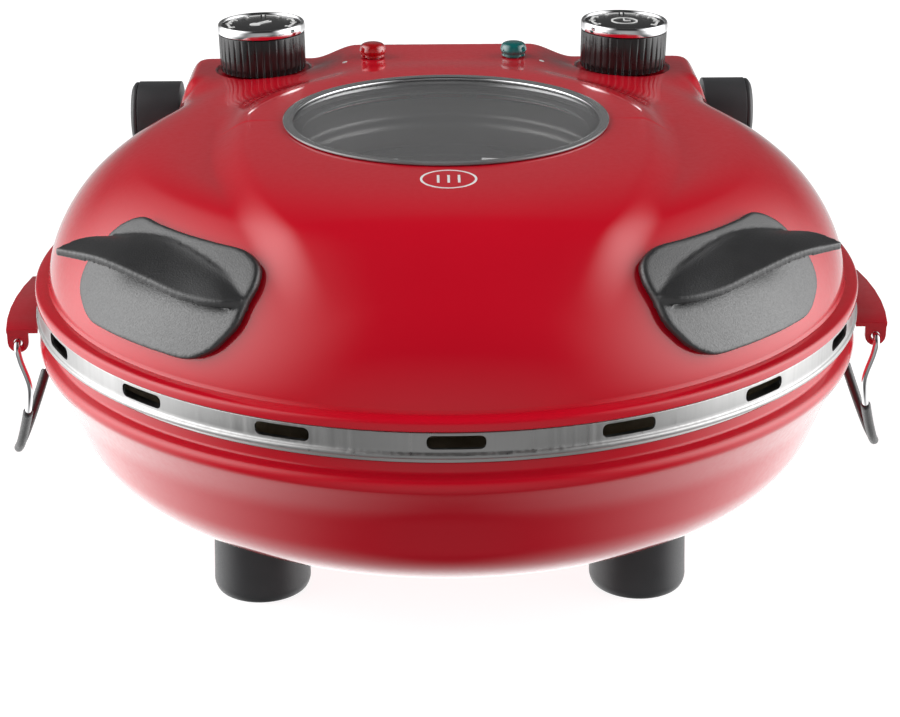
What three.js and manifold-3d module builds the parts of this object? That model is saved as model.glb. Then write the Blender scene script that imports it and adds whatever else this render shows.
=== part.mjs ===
// Countertop pizza oven: a round stone-baked oven with a hinged domed lid, a glass
// window, two timer/thermostat knobs, two lift handles and a wire latch on each side.
//
// Units are millimetres, +Z is up and the controls are at the back (+Y). The part's
// origin is on the table, under the middle of the whole oven. Heights inside the
// assembly are measured from the lid's lower edge, and plan positions from the lid's centre.
import * as THREE from 'three';
import { mergeVertices } from 'three/addons/utils/BufferGeometryUtils.js';
import Module from 'manifold-3d';

const wasm = await Module();
wasm.setup();

// ---------- driving dimensions ----------
const lidEdgeHeight = 111;     // table to the lid's lower edge
const lipRadius = 175;         // outer radius of the lid's lip
const sheet = 1.6;             // painted steel thickness
const thin = 0.8;              // reflector, liner and belt steel thickness
const gap = 0.3;               // clearance between neighbouring pieces

// Lid dome, a superellipse of revolution, flattened on top.
const domeRadius = 169;
const domeFoot = 4.7;
const domeRise = 65.9;
const domePlanPower = 4.17;
const domeRisePower = 1.64;
const domeCrown = 59;

// Raised ring round the window, with a tongue that runs down to the front.
const windowHoleRadius = 66;
const humpTop = 65.8;
const humpFootRadius = 98;
const humpRearGrowth = 6;      // how much wider the ring's foot is towards the controls
const humpSlopeWidth = 16;
const tongueNarrowing = 0.000559;
const tongueNarrowingPower = 2.235;
const tonguePlanPower = 7.2;
const tongueEnd = 152;         // how far forward the tongue has sunk into the dome
const tongueFade = 34;

// Control console at the back of the lid.
const consoleHalfWidth = 127;
const consoleBack = 146.5;
const consoleCorner = 16;
const consoleEdge = 12;
const consoleHeight = 58.5;
const consoleBlend = 6;
const consoleStart = 46;       // where the console begins to rise out of the dome
const consoleRise = 48;
const padHeight = 64.9;
const padHalfWidth = 41;
const padFoot = 63;

// Knobs, lamps and the parts under them.
const knobX = 84.8;
const knobY = 114.8;
const knobSeat = 58.9;
const knobTilt = THREE.MathUtils.degToRad(1);
const knobRadius = 20.3;
const knobHeight = 22.2;
const knobDeck = 19.1;         // the knob's top, under its ring and dial
const dialRadius = 18.1;
const shaftRadius = 3;
const wellRadius = 22.5;
const wellDepth = 1;
const lampX = 33;
const lampY = 110.5;
const lampRadius = 6.3;
const lampStem = 4;

// Vent belt under the lid's lip.
const beltRadius = 174.2;
const beadRadius = 175.3;
const beltBottom = -11;
const slotCount = 17;
const slotWidth = 21.4;
const slotTop = -1.6;
const slotBottom = -6.9;
const slotTurn = THREE.MathUtils.degToRad(0.44);

// Base bowl.
const bowlTop = -14;
const bowlBottom = -88;
const bowlFlatRadius = 88;
const bowlShoulder = [161, -54];
const bowlNeck = [171.8, -20.5];
const bowlSegments = 32;
const footX = 77.9;
const footY = 78.2;
const footRadius = 20;
const footTaper = 0.9;
const footTop = -78;
const footScrewHead = -81.8;
const footScrewRadius = 1.9;
const inletY = 166;            // mains lead inlet in the back of the bowl
const inletZ = -42;

// Baking stone and heating elements.
const stoneRadius = 157;
const stoneTop = -23;
const stoneThickness = 12.8;
const lowerElementRadius = 112;
const lowerElementHeight = -46.5;
const upperElementRadius = 118;
const upperElementHeight = 22;
const elementTube = 3.2;

// Lid hinge and side latches.
const hingeY = 173;
const hingeZ = 20.3;
const barrelRadius = 16.8;
const postInner = 131;
const postOuter = 152;
const lugInner = 106;
const lugOuter = 126.8;
const lugRadius = 13.5;
const pinRadius = 4;
const latchX = 180.8;
const latchZ = -21;
const latchPlateRadius = 188.3;
const latchHalfLength = 32.8;
const latchThickness = 1.8;
const wireRadius = 1.4;
const sleeveRadius = 2.15;

// Lift handles, set on the front corners of the dome.
const handleAzimuth = THREE.MathUtils.degToRad(-45.3);
const handleHalfAngle = THREE.MathUtils.degToRad(17.5);
const handleMiddle = 32;
const handleLift = 0.8;
const handleThickness = 4.5;
const finThickness = 3.4;

// The assembly is centred front to back between the belt and the hinge barrels.
const frameShift = (hingeY + barrelRadius - beadRadius) / 2;

// ---------- materials ----------
function finish(color, roughness, metalness) {
  return new THREE.MeshStandardMaterial({ color, roughness, metalness });
}
const redEnamel = finish(0xb5121f, 0.3, 0.1);
const brushedSteel = finish(0xc9c9c6, 0.35, 0.9);
const innerSteel = finish(0x9b9a96, 0.5, 0.8);
const chrome = finish(0xe6e6e6, 0.12, 1);
const blackPlastic = finish(0x2b2b2c, 0.5, 0);
const footPlastic = finish(0x3a3b3d, 0.55, 0);
const greySilicone = finish(0x8a8c8e, 0.6, 0);
const smokedGlass = finish(0x6f7173, 0.1, 0);
const cordierite = finish(0xcbb58f, 0.9, 0);
const elementSteel = finish(0x4a4745, 0.5, 0.7);
const zincSteel = finish(0xa9abad, 0.4, 0.8);
const redLens = finish(0xc3141c, 0.15, 0);
const greenLens = finish(0x0f7f78, 0.15, 0);

// ---------- shape helpers ----------
function solidOf(geometry) {
  const plain = geometry.clone();
  plain.deleteAttribute('normal');
  plain.deleteAttribute('uv');
  const merged = mergeVertices(plain, 1e-4);
  const corners = merged.index.array;
  const kept = [];
  for (let i = 0; i < corners.length; i += 3) {
    const [a, b, c] = [corners[i], corners[i + 1], corners[i + 2]];
    if (a !== b && b !== c && c !== a) {
      kept.push(a, b, c);
    }
  }
  return new wasm.Manifold(new wasm.Mesh({
    numProp: 3,
    vertProperties: Float32Array.from(merged.attributes.position.array),
    triVerts: Uint32Array.from(kept),
  }));
}

function geometryOf(solid) {
  const mesh = solid.getMesh();
  const geometry = new THREE.BufferGeometry();
  geometry.setAttribute('position', new THREE.BufferAttribute(mesh.vertProperties, 3));
  geometry.setIndex(new THREE.BufferAttribute(mesh.triVerts, 1));
  return geometry;
}

function cut(geometry, ...tools) {
  let solid = solidOf(geometry);
  for (const tool of tools) {
    solid = solid.subtract(solidOf(tool));
  }
  return geometryOf(solid);
}

function join(...geometries) {
  let solid = solidOf(geometries[0]);
  for (const geometry of geometries.slice(1)) {
    solid = solid.add(solidOf(geometry));
  }
  return geometryOf(solid);
}

function signedArea(points) {
  let area = 0;
  for (let i = 0; i < points.length; i += 1) {
    const [r0, z0] = points[i];
    const [r1, z1] = points[(i + 1) % points.length];
    area += (r0 * z1 - r1 * z0) / 2;
  }
  return area;
}

// A solid of revolution about Z from [radius, height] points. A profile that doesn't
// start and end on the axis is closed into a ring.
function revolve(profile, segments) {
  const onAxis = profile[0][0] === 0 && profile[profile.length - 1][0] === 0;
  const ordered = signedArea(profile) > 0 ? [...profile] : [...profile].reverse();
  if (!onAxis) {
    ordered.push(ordered[0]);
  }
  const points = ordered.map(([r, z]) => new THREE.Vector2(r, z));
  const geometry = new THREE.LatheGeometry(points, segments);
  geometry.rotateX(Math.PI / 2);
  return geometry;
}

// The closed outline of a bent sheet whose middle line is given.
function sheetProfile(middle, thickness) {
  const sides = [1, -1].map((side) => middle.map(([r, z], i) => {
    const [r0, z0] = middle[Math.max(i - 1, 0)];
    const [r1, z1] = middle[Math.min(i + 1, middle.length - 1)];
    const length = Math.hypot(r1 - r0, z1 - z0);
    const shift = side * thickness / 2;
    const atAxis = r === 0;
    const dr = atAxis ? 0 : -(z1 - z0) / length * shift;
    const dz = atAxis ? shift : (r1 - r0) / length * shift;
    return [r + dr, z + dz];
  }));
  return [...sides[0], ...sides[1].reverse()];
}

function cylinder(radius, low, high, sides = 12) {
  return revolve([[0, low], [radius, low], [radius, high], [0, high]], sides);
}

function polygon(points) {
  return new THREE.Shape(points.map(([x, y]) => new THREE.Vector2(x, y)));
}

function extrude(shape, depth, curveSegments = 6) {
  return new THREE.ExtrudeGeometry(shape, { depth, bevelEnabled: false, curveSegments });
}

// Extrudes an outline given as [y, z] points along X, from low to high.
function extrudeAlongX(shape, low, high, curveSegments = 6) {
  const geometry = extrude(shape, high - low, curveSegments);
  geometry.rotateX(Math.PI / 2);
  geometry.rotateZ(Math.PI / 2);
  geometry.translate(low, 0, 0);
  return geometry;
}

function ringShape(radius, sides) {
  const points = [];
  for (let i = 0; i < sides; i += 1) {
    const turn = 2 * Math.PI * i / sides;
    points.push([radius * Math.cos(turn), radius * Math.sin(turn)]);
  }
  return polygon(points);
}

function tube(path, radius, sides, steps, innerRadius = 0) {
  const shape = ringShape(radius, sides);
  if (innerRadius > 0) {
    shape.holes.push(ringShape(innerRadius, sides));
  }
  return new THREE.ExtrudeGeometry(shape, { extrudePath: path, steps, bevelEnabled: false });
}

class PartOfCurve extends THREE.Curve {
  constructor(whole, start, end) {
    super();
    this.whole = whole;
    this.start = start;
    this.end = end;
  }

  getPoint(t, target = new THREE.Vector3()) {
    return target.copy(this.whole.getPointAt(this.start + (this.end - this.start) * t));
  }
}

function mirrored(geometry) {
  const flipped = geometry.clone();
  flipped.scale(-1, 1, 1);
  const whole = flipped.index ? flipped : mergeVertices(flipped, 1e-4);
  const corners = whole.index.array;
  for (let i = 0; i < corners.length; i += 3) {
    [corners[i], corners[i + 1]] = [corners[i + 1], corners[i]];
  }
  return whole;
}

// The right-hand piece is modelled, and the left-hand one is its mirror image.
function onSide(geometry, side) {
  return side === 'left' ? mirrored(geometry) : geometry;
}

const object = new THREE.Group();
const assembly = new THREE.Group();
assembly.position.set(0, -frameShift, lidEdgeHeight);
object.add(assembly);

function place(name, geometry, material, parent = assembly) {
  const mesh = new THREE.Mesh(geometry, material);
  mesh.name = name;
  parent.add(mesh);
  return mesh;
}

// ---------- lid surface ----------
const smooth = (t) => {
  const s = Math.min(Math.max(t, 0), 1);
  return s * s * (3 - 2 * s);
};

function smoothMax(a, b, width) {
  const share = Math.min(Math.max(0.5 + 0.5 * (a - b) / width, 0), 1);
  return b + (a - b) * share + width * share * (1 - share);
}

function smoothMin(a, b, width) {
  return -smoothMax(-a, -b, width);
}

function superellipse(radius, rise, planPower) {
  const inside = Math.max(1 - (radius / domeRadius) ** planPower, 0);
  return domeFoot + rise * inside ** (1 / domeRisePower);
}

// Distance inside the console's rounded rectangular outline, negative outside it.
function insideConsole(x, y) {
  const qx = Math.abs(x) - (consoleHalfWidth - consoleCorner);
  const qy = y - (consoleBack - consoleCorner);
  const outside = Math.hypot(Math.max(qx, 0), Math.max(qy, 0));
  return consoleCorner - outside - Math.min(Math.max(qx, qy), 0);
}

function consoleSurface(x, y) {
  const ramp = smooth((padFoot - Math.abs(x)) / (padFoot - padHalfWidth));
  const top = consoleHeight + (padHeight - consoleHeight) * ramp;
  const depth = Math.min(Math.max(insideConsole(x, y) / consoleEdge, 0), 1);
  return domeFoot + (top - domeFoot) * Math.sqrt(1 - (1 - depth) ** 2);
}

function lidHeight(x, y) {
  const radius = Math.hypot(x, y);
  let height = smoothMin(superellipse(radius, domeRise, domePlanPower), domeCrown, 4);
  if (y > consoleStart) {
    const raised = smoothMax(height, consoleSurface(x, y), consoleBlend);
    height += (raised - height) * smooth((y - consoleStart) / consoleRise);
  }
  const forward = Math.max(-y, 0);
  const edge = humpFootRadius - tongueNarrowing * forward ** tongueNarrowingPower;
  const rearEdge = humpFootRadius + humpRearGrowth * smooth(y / 60);
  const reach = y < 0 ? edge - Math.abs(x) : rearEdge - radius;
  const tongue = superellipse(radius, humpTop - domeFoot, tonguePlanPower);
  const target = Math.max(y < 0 ? tongue : humpTop, height);
  const fade = smooth((tongueEnd - forward) / tongueFade);
  return height + (target - height) * smooth(reach / humpSlopeWidth) * fade;
}

function lidNormal(x, y) {
  const step = 0.2;
  const slopeX = (lidHeight(x + step, y) - lidHeight(x - step, y)) / (2 * step);
  const slopeY = (lidHeight(x, y + step) - lidHeight(x, y - step)) / (2 * step);
  return new THREE.Vector3(-slopeX, -slopeY, 1).normalize();
}

// The lid's outer radius in one direction: the dome's, or the console's corner beyond it.
function lidReach(azimuth) {
  const [dx, dy] = [Math.cos(azimuth), Math.sin(azimuth)];
  if (dy <= 0.35) {
    return domeRadius;
  }
  let [low, high] = [100, 240];
  while (high - low > 0.01) {
    const middle = (low + high) / 2;
    if (insideConsole(dx * middle, dy * middle) > 0) {
      low = middle;
    } else {
      high = middle;
    }
  }
  return Math.max(domeRadius, low);
}

const lidRings = 9;

function lidSection(azimuth) {
  const [dx, dy] = [Math.cos(azimuth), Math.sin(azimuth)];
  const reach = lidReach(azimuth);
  const at = (r, z) => new THREE.Vector3(dx * r, dy * r, z);
  const outer = [at(lipRadius, 0), at(lipRadius - 0.4, 3.4), at(171.5, 4.9)];
  const inner = [at(173.4, 0), at(173, 3.1), at(169.9, 3.3), at(Math.min(168.6, reach - 1.7), 6.6)];
  for (let ring = 0; ring <= lidRings; ring += 1) {
    const radius = reach - 0.05 - (reach - 0.05 - windowHoleRadius) * (ring / lidRings) ** 1.8;
    const point = at(radius, lidHeight(dx * radius, dy * radius));
    outer.push(point);
    if (ring > 0) {
      inner.push(point.clone().addScaledVector(lidNormal(point.x, point.y), -sheet));
    }
  }
  return [...outer, ...inner.reverse(), outer[0].clone()];
}

// A closed lathe whose section changes with direction.
function sweptRing(sectionAt, segments) {
  const count = sectionAt(0).length;
  const blank = Array.from({ length: count }, (unused, i) => new THREE.Vector2(1, i));
  const geometry = new THREE.LatheGeometry(blank, segments);
  const position = geometry.attributes.position;
  for (let i = 0; i <= segments; i += 1) {
    const section = sectionAt(2 * Math.PI * (i % segments) / segments);
    section.forEach((point, j) => position.setXYZ(i * count + j, point.x, point.y, point.z));
  }
  return geometry;
}

// ---------- lid ----------
function atKnob(geometry, x) {
  geometry.rotateY(Math.sign(x) * knobTilt);
  geometry.translate(x, knobY, knobSeat);
  return geometry;
}

// The pressed well that each knob stands in.
function knobWell() {
  return revolve([
    [0, -wellDepth - sheet], [wellRadius + sheet, -wellDepth - sheet], [wellRadius + sheet, 0.2],
    [wellRadius, 0.2], [wellRadius, -wellDepth], [0, -wellDepth],
  ], 24);
}

function lampHole(x) {
  const hole = cylinder(lampStem + gap, -8, 8);
  hole.translate(x, lampY, padHeight);
  return hole;
}

function lidShell(screwHoles) {
  const segments = 46;
  const places = [-knobX, knobX];
  const mouths = places.map((x) => atKnob(cylinder(wellRadius, -wellDepth, 20, 24), x));
  const wells = places.map((x) => atKnob(knobWell(), x));
  const shaftHoles = places.map((x) => atKnob(cylinder(shaftRadius + 1, -8, 8), x));
  const lampHoles = [-lampX, lampX].map(lampHole);
  const dome = cut(sweptRing(lidSection, segments), ...mouths);
  return cut(join(dome, ...wells), ...shaftHoles, ...lampHoles, ...screwHoles);
}

function slotTool(index) {
  const [half, middle] = [slotWidth / 2, (slotTop + slotBottom) / 2];
  const corner = 2;
  const shape = polygon([
    [-half, middle], [corner - half, slotBottom], [half - corner, slotBottom],
    [half, middle], [half - corner, slotTop], [corner - half, slotTop],
  ]);
  const tool = extrude(shape, 6);
  tool.rotateX(Math.PI / 2);
  tool.translate(0, beltRadius + 3.5, 0);
  tool.rotateZ(Math.PI + slotTurn + 2 * Math.PI * index / slotCount);
  return tool;
}

function ventBelt() {
  const profile = [
    [165.5, beltBottom], [174, beltBottom], [beadRadius, -9.5], [beltRadius, -7.6],
    [beltRadius, -0.4], [166, -0.4], [166, -1.1], [beltRadius - thin, -1.1],
    [beltRadius - thin, -10.2], [165.5, -10.2],
  ];
  const tools = Array.from({ length: slotCount }, (unused, index) => slotTool(index));
  return cut(revolve(profile, slotCount * 2), ...tools);
}

const reflectorLine = [
  [172, 0.6], [166, 0.6], [161, 11], [150, 22], [118, 32], [68, 36], [66.4, 57],
];

function elementPath(radius, height, tailTop) {
  const points = [];
  const opening = THREE.MathUtils.degToRad(8);
  const turns = 18;
  const tail = (azimuth, z) => new THREE.Vector3(radius * Math.cos(azimuth), radius * Math.sin(azimuth), z);
  const first = Math.PI / 2 + opening;
  const last = Math.PI / 2 - opening + 2 * Math.PI;
  const middle = height + (tailTop - height) * 0.45;
  points.push(tail(first - 0.03, tailTop), tail(first - 0.03, middle));
  for (let i = 0; i <= turns; i += 1) {
    points.push(tail(first + 0.05 + (last - first - 0.1) * i / turns, height));
  }
  points.push(tail(last + 0.03, middle), tail(last + 0.03, tailTop));
  return new THREE.CatmullRomCurve3(points, false, 'centripetal');
}

function tailHoles(radius, low, high) {
  const opening = THREE.MathUtils.degToRad(8) - 0.03;
  return [-1, 1].map((side) => {
    const hole = cylinder(elementTube + 2.4, low, high);
    const azimuth = Math.PI / 2 + side * opening;
    hole.translate(radius * Math.cos(azimuth), radius * Math.sin(azimuth), 0);
    return hole;
  });
}

// A saddle that carries the element tube: foot plate, web and half-round cradle.
function elementClip(footHeight, tubeHeight, elementRadius, azimuth) {
  const rise = Math.abs(tubeHeight - footHeight);
  const [inner, outer] = [elementTube + 1.3, elementTube + 2.3];
  const outline = [[-4, 0], [4, 0], [4, 1.2], [0.8, 1.2], [0.8, rise - outer]];
  const arc = (radius, from, to) => {
    for (let i = 0; i <= 3; i += 1) {
      const turn = from + (to - from) * i / 3;
      outline.push([radius * Math.sin(turn), rise - radius * Math.cos(turn)]);
    }
  };
  arc(outer, 0.35, 1.7);
  arc(inner, 1.7, -1.7);
  arc(outer, -1.7, -0.35);
  outline.push([-0.8, rise - outer], [-0.8, 1.2], [-4, 1.2]);
  const clip = extrude(polygon(outline), 8);
  clip.translate(0, 0, -4);
  clip.rotateX(Math.PI / 2);
  if (tubeHeight < footHeight) {
    clip.rotateY(Math.PI);
  }
  clip.translate(elementRadius, 0, footHeight);
  clip.rotateZ(azimuth);
  return clip;
}

// A point on the dome's corner where a handle sits. side runs from -1 to 1 along the
// plate and height is the height on the dome; lift is the distance out of the surface.
function handlePoint(side, height, lift) {
  const azimuth = handleAzimuth + side * handleHalfAngle;
  const share = (height - domeFoot) / domeRise;
  const radius = domeRadius * (1 - share ** domeRisePower) ** (1 / domePlanPower);
  const point = new THREE.Vector3(radius * Math.cos(azimuth), radius * Math.sin(azimuth), height);
  const slope = (height - domeFoot < 20) ? 0.22 : 0.22 + (height - 24.7) * 0.035;
  const normal = new THREE.Vector3(Math.cos(azimuth), Math.sin(azimuth), slope).normalize();
  return point.addScaledVector(normal, lift);
}

// The plate's outline as [side, height] points, wide at the top and cut away at its
// inner lower corner.
const handleOutline = [
  [-0.04, 49], [-0.83, 48], [-0.97, 45.2], [-1, 41], [-0.94, 28.5], [-0.77, 18.5], [-0.6, 13.6],
  [0, 13.6], [0.57, 14], [0.74, 19], [0.87, 24], [0.87, 31], [0.77, 44], [0.57, 49.3],
];

// The plate follows the dome inside its outline.
function handlePlate() {
  const rings = [
    [0.02, handleLift], [0.5, handleLift], [0.78, handleLift], [1, handleLift], [1, handleThickness * 0.6],
    [0.94, handleThickness], [0.5, handleThickness], [0.02, handleThickness],
  ];
  const count = handleOutline.length;
  const sectionAt = (azimuth) => {
    const [side, height] = handleOutline[Math.round(azimuth / (2 * Math.PI) * count) % count];
    const section = rings.map(([share, lift]) => (
      handlePoint(side * share, handleMiddle + (height - handleMiddle) * share, lift)
    ));
    return [...section, section[0].clone()];
  };
  const ring = solidOf(sweptRing(sectionAt, count));
  const plug = cylinder(4, 0, 1);
  const [low, high] = [handleLift, handleThickness].map((lift) => handlePoint(0, handleMiddle, lift));
  plug.scale(1, 1, high.distanceTo(low));
  plug.lookAt(new THREE.Vector3().subVectors(high, low));
  plug.translate(low.x, low.y, low.z);
  return geometryOf(ring.add(solidOf(plug)));
}

const finRoot = [[0.72, 39.2], [0.36, 43.3], [0, 44.7], [-0.54, 41.7], [-0.97, 35.2]];
const finEdge = [
  [149.5, -101, 43], [131, -113.5, 43.5], [112.5, -126, 40], [98, -135.5, 37],
  [84, -141.5, 36.3], [77, -141.5, 36.8],
];

// The lifting wing: a blade that grows out of the plate towards the oven's side.
function handleFin() {
  const root = new THREE.CatmullRomCurve3(finRoot.map(([side, height]) => handlePoint(side, height, 2.4)));
  const edge = new THREE.CatmullRomCurve3(finEdge.map(([x, y, z]) => new THREE.Vector3(x, y, z)));
  const blade = new THREE.BoxGeometry(1, 1, 1, 8, 3, 1);
  const position = blade.attributes.position;
  for (let i = 0; i < position.count; i += 1) {
    const along = position.getX(i) + 0.5;
    const out = position.getY(i) + 0.5;
    const up = position.getZ(i);
    const point = root.getPoint(along).lerp(edge.getPoint(along), out);
    const arch = 2.5 * Math.sin(Math.PI * out) * (1 - along);
    const thickness = finThickness * (1.25 - 0.35 * out);
    position.setXYZ(i, point.x, point.y, point.z + arch + up * thickness);
  }
  return blade;
}

function handleScrewFrame(index) {
  const side = index === 0 ? -0.5 : 0.5;
  const low = handlePoint(side, 27, 0);
  const frame = new THREE.Object3D();
  frame.position.copy(low);
  frame.lookAt(handlePoint(side, 27, 10));
  frame.updateMatrix();
  return frame.matrix;
}

function handleScrew(index) {
  const profile = [[0, -7.4], [3.6, -7.4], [3.6, -5.2], [1.6, -5.2], [1.6, 3.2], [0, 3.2]];
  return revolve(profile, 7).applyMatrix4(handleScrewFrame(index));
}

function handleScrewHole(index) {
  return cylinder(2, -6, 3.6, 8).applyMatrix4(handleScrewFrame(index));
}

function handle() {
  return cut(join(handlePlate(), handleFin()), handleScrewHole(0), handleScrewHole(1));
}

function windowRetainer() {
  return revolve([
    [60.5, 60.1], [68.2, 60.1], [68.6, 61.9], [73, 61.9],
    [73, 62.6], [67.4, 62.6], [67, 61.2], [60.5, 61.2],
  ], 28);
}

function windowGasket() {
  return revolve([
    [64.9, 61.6], [65.6, 61.6], [65.6, 66.1], [68.6, 66.1], [68.4, 67.1], [64.9, 67.1],
  ], 32);
}

function lamp(x) {
  const lens = revolve([
    [0, -9], [lampStem, -9], [lampStem, 0.4], [lampRadius, 0.4], [lampRadius, 3],
    [lampRadius * 0.7, 6], [0, 7],
  ], 12);
  lens.translate(x, lampY, padHeight);
  return lens;
}

function hingeLug() {
  const shape = new THREE.Shape();
  shape.moveTo(120, 8);
  shape.lineTo(hingeY, hingeZ - lugRadius);
  shape.absarc(hingeY, hingeZ, lugRadius, -Math.PI / 2, Math.PI / 2, false);
  shape.lineTo(120, hingeZ + lugRadius);
  const arm = extrudeAlongX(shape, lugInner, lugOuter);
  const bore = extrudeAlongX(ringShape(pinRadius + gap, 12), lugInner - 1, lugOuter + 1);
  bore.translate(0, hingeY, hingeZ);
  return cut(arm, bore, consoleBlock(gap + 0.1));
}

function consoleBlock(margin) {
  const shape = new THREE.Shape();
  const [width, back, corner] = [consoleHalfWidth + margin, consoleBack + margin, consoleCorner + margin];
  shape.moveTo(-width, 0);
  shape.lineTo(width, 0);
  shape.lineTo(width, back - corner);
  shape.absarc(width - corner, back - corner, corner, 0, Math.PI / 2, false);
  shape.absarc(-width + corner, back - corner, corner, Math.PI / 2, Math.PI, false);
  return extrude(shape, 80, 8).translate(0, 0, -10);
}

function buildLid() {
  const screwHoles = ['left', 'right'].flatMap((side) => (
    [0, 1].map((index) => onSide(handleScrewHole(index), side))
  ));
  place('lid_shell', lidShell(screwHoles), redEnamel);
  place('vent_belt', ventBelt(), brushedSteel);
  const reflector = revolve(sheetProfile(reflectorLine, thin), 32);
  place('lid_reflector', cut(reflector, ...tailHoles(upperElementRadius, 26, 40)), innerSteel);
  const path = elementPath(upperElementRadius, upperElementHeight, 46);
  place('upper_element', tube(path, elementTube, 6, 40), elementSteel);
  for (let i = 0; i < 3; i += 1) {
    const azimuth = -Math.PI / 2 + i * 2 * Math.PI / 3;
    const clip = elementClip(29.9, upperElementHeight, upperElementRadius, azimuth);
    place(`upper_element_clip_${i + 1}`, clip, zincSteel);
  }
  place('window_gasket', windowGasket(), greySilicone);
  place('window_glass', revolve([[0, 61.6], [64.6, 61.6], [64.6, 65.6], [0, 65.6]], 32), smokedGlass);
  place('window_retainer', windowRetainer(), zincSteel);
  for (const side of ['left', 'right']) {
    place(`handle_${side}`, onSide(handle(), side), blackPlastic);
    for (const index of [0, 1]) {
      place(`handle_screw_${side}_${index + 1}`, onSide(handleScrew(index), side), zincSteel);
    }
    place(`hinge_lug_${side}`, onSide(hingeLug(), side), blackPlastic);
  }
  place('power_lamp', lamp(-lampX), redLens);
  place('heat_lamp', lamp(lampX), greenLens);
}

// ---------- knobs ----------
function knobBody() {
  return revolve([
    [0, 12.3], [shaftRadius + gap, 12.3], [shaftRadius + gap, 0], [knobRadius - 0.5, 0],
    [knobRadius - 0.2, knobDeck - 1.6], [dialRadius, knobDeck - 1.6],
    [dialRadius, knobDeck], [0, knobDeck],
  ], 20);
}

function knobRing() {
  return revolve([
    [dialRadius + gap, knobDeck - 1.3], [knobRadius, knobDeck - 1.3],
    [knobRadius + 0.1, knobDeck + 0.9],
    [knobRadius - 0.7, knobHeight - 0.3], [knobRadius - 1.3, knobHeight],
    [dialRadius + gap, knobHeight - 0.3],
  ], 20);
}

function buildControl(name, device, x, deviceRadius, deviceDepth) {
  const group = new THREE.Group();
  group.position.set(x, knobY, knobSeat);
  group.rotation.y = Math.sign(x) * knobTilt;
  assembly.add(group);
  place(`${name}_knob`, knobBody(), blackPlastic, group);
  place(`${name}_knob_ring`, knobRing(), chrome, group);
  const dial = revolve([
    [0, knobDeck + gap], [dialRadius, knobDeck + gap],
    [dialRadius, knobHeight - 0.9], [0, knobHeight - 0.5],
  ], 20);
  place(`${name}_dial`, dial, blackPlastic, group);
  place(`${name}_shaft`, cylinder(shaftRadius, -10, 12, 8), zincSteel, group);
  const bore = shaftRadius + gap;
  const housing = revolve([
    [0, -3 - deviceDepth], [deviceRadius, -3 - deviceDepth], [deviceRadius, -4.5], [deviceRadius - 2, -3],
    [bore, -3], [bore, -10.4], [0, -10.4],
  ], 12);
  place(device, housing, zincSteel, group);
}

// ---------- base ----------
function bowlCurve() {
  const curve = new THREE.CubicBezierCurve(
    new THREE.Vector2(...bowlShoulder), new THREE.Vector2(156, -70),
    new THREE.Vector2(140, -85), new THREE.Vector2(bowlFlatRadius, bowlBottom),
  );
  return curve.getPoints(4).map((point) => [point.x, point.y]);
}

// The bowl's outer outline from its lip down to the middle of its floor.
function bowlOutline() {
  return [[lipRadius, bowlTop - 1.2], [lipRadius, -18.6], bowlNeck, ...bowlCurve(), [0, bowlBottom]];
}

function bowlLine() {
  const middle = [
    [170.9, -14.8], [173.2, -14.8], [174.2, -15.8], [174.2, -18.4], [171, -20.7],
    ...bowlCurve().map(([r, z]) => [r - 0.7, z + 0.6]),
  ];
  return [...middle, [0, bowlBottom + 0.8]];
}

function bowlSolid(margin) {
  const outline = bowlOutline().map(([r, z]) => [r === 0 ? 0 : r + margin, z - margin]);
  return revolve([[0, bowlTop], [lipRadius + margin, bowlTop], ...outline], bowlSegments);
}

const linerLine = [
  [169.7, -14], [169.5, -11.9], [165, -11.9], [164, -13.5], [163.5, -34.5], [161.5, -36.6],
  [150, -36.6], [147, -57], [140, -60], [0, -60],
];

function foot() {
  const body = revolve([
    [0, -lidEdgeHeight], [footRadius - 1.8, -lidEdgeHeight], [footRadius - 0.3, -lidEdgeHeight + 1.2],
    [footRadius, -lidEdgeHeight + 3.5], [footRadius - footTaper, footTop], [0, footTop],
  ], 16);
  return cut(body, cylinder(footScrewRadius + 0.4, -100, -70, 8));
}

function footScrew() {
  return revolve([
    [0, -98], [footScrewRadius, -98], [footScrewRadius, footScrewHead],
    [4, footScrewHead], [4, footScrewHead + 2.4], [0, footScrewHead + 2.4],
  ], 7);
}

function latchBracket() {
  const edge = (radius, y) => [Math.sqrt(radius ** 2 - y ** 2), y];
  const steps = [-1, -0.6, -0.2, 0.2, 0.6, 1].map((share) => share * latchHalfLength);
  const outer = steps.map((y) => edge(latchPlateRadius, y));
  const inner = steps.reverse().map((y) => edge(lipRadius + gap, y));
  const plateTop = bowlTop - 1;
  const plate = extrude(polygon([...outer, ...inner]), latchThickness);
  plate.translate(0, 0, plateTop - latchThickness);
  const half = 4.4;
  const ears = [-1, 1].map((side) => {
    const shape = new THREE.Shape();
    shape.moveTo(latchX - half, plateTop - 0.5);
    shape.lineTo(latchX - half, latchZ);
    shape.absarc(latchX, latchZ, half, Math.PI, 2 * Math.PI, false);
    shape.lineTo(latchX + half, plateTop - 0.5);
    shape.holes.push(new THREE.Path(ringShape(1.9, 10).getPoints().map((p) => (
      new THREE.Vector2(p.x + latchX, p.y + latchZ)
    ))));
    const ear = extrude(shape, latchThickness, 4);
    ear.rotateX(Math.PI / 2);
    ear.translate(0, side > 0 ? latchHalfLength : -latchHalfLength + latchThickness, 0);
    return ear;
  });
  return join(plate, ...ears);
}

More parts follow.
